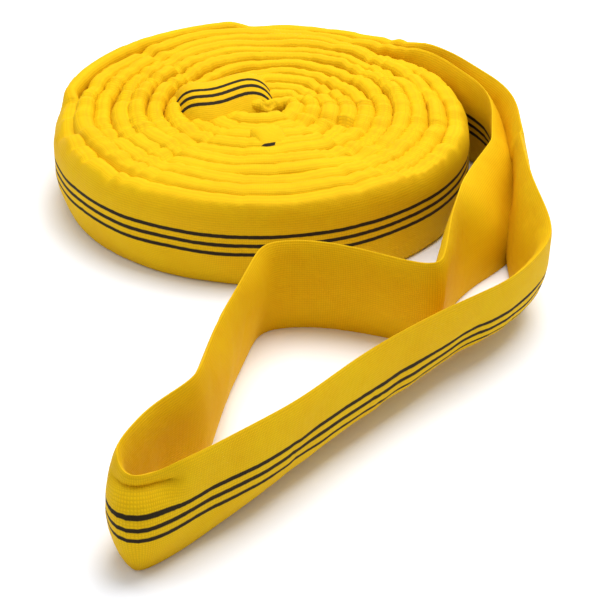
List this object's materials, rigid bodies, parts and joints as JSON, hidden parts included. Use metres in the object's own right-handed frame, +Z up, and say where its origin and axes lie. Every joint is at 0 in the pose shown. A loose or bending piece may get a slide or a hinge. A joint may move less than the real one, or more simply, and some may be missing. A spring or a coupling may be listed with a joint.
{
  "type": "round sling",
  "caption": "Flat-laid endless fabric lifting sling, rolled up on its edge, with one bight left out as an open eye for a hook.",
  "frame": {"origin": "centre of the sling's footprint, on the floor that it stands on", "axes": "+Z up, along the width of the flattened sleeve; +Y from the eye towards the roll; +X to the right"},
  "size_m": [0.2906, 0.5412, 0.06],
  "materials": {
    "woven_sleeve": "golden yellow woven polyester with three black lines",
    "load_yarn": "parallel polyester yarn, undyed",
    "yarn_tape": "white fabric tape",
    "sewing_thread": "pale polyester thread",
    "label_cloth": "plain blue coated label cloth"
  },
  "bodies": {
    "roll": {"sleeve_coil": "woven_sleeve", "core_coil": "load_yarn", "sleeve_tucked_end": "woven_sleeve", "yarn_tape": "yarn_tape", "label_tab": "label_cloth", "seam_stitches": "sewing_thread"},
    "legs": {"sleeve_legs": "woven_sleeve", "core_legs": "load_yarn"},
    "eye": {"sleeve_eye": "woven_sleeve", "core_eye": "load_yarn"},
    "label": {"label_flap": "label_cloth"}
  },
  "joints": [
    {"name": "loop_swing", "type": "hinge", "parent": "roll", "child": "legs", "pos_m": [0.07631, 0.23, 0.03], "axis": [0, 0, 1], "range_deg": [0, 75]},
    {"name": "eye_swing", "type": "hinge", "parent": "legs", "child": "eye", "pos_m": [0.13255, 0.11196, 0.03], "axis": [0, 0, 1], "range_deg": [-10, 60]},
    {"name": "label_fold", "type": "hinge", "parent": "roll", "child": "label", "pos_m": [-0.12424, 0.20624, 0.03], "axis": [0, 0, 1], "range_deg": [0, 150]}
  ]
}
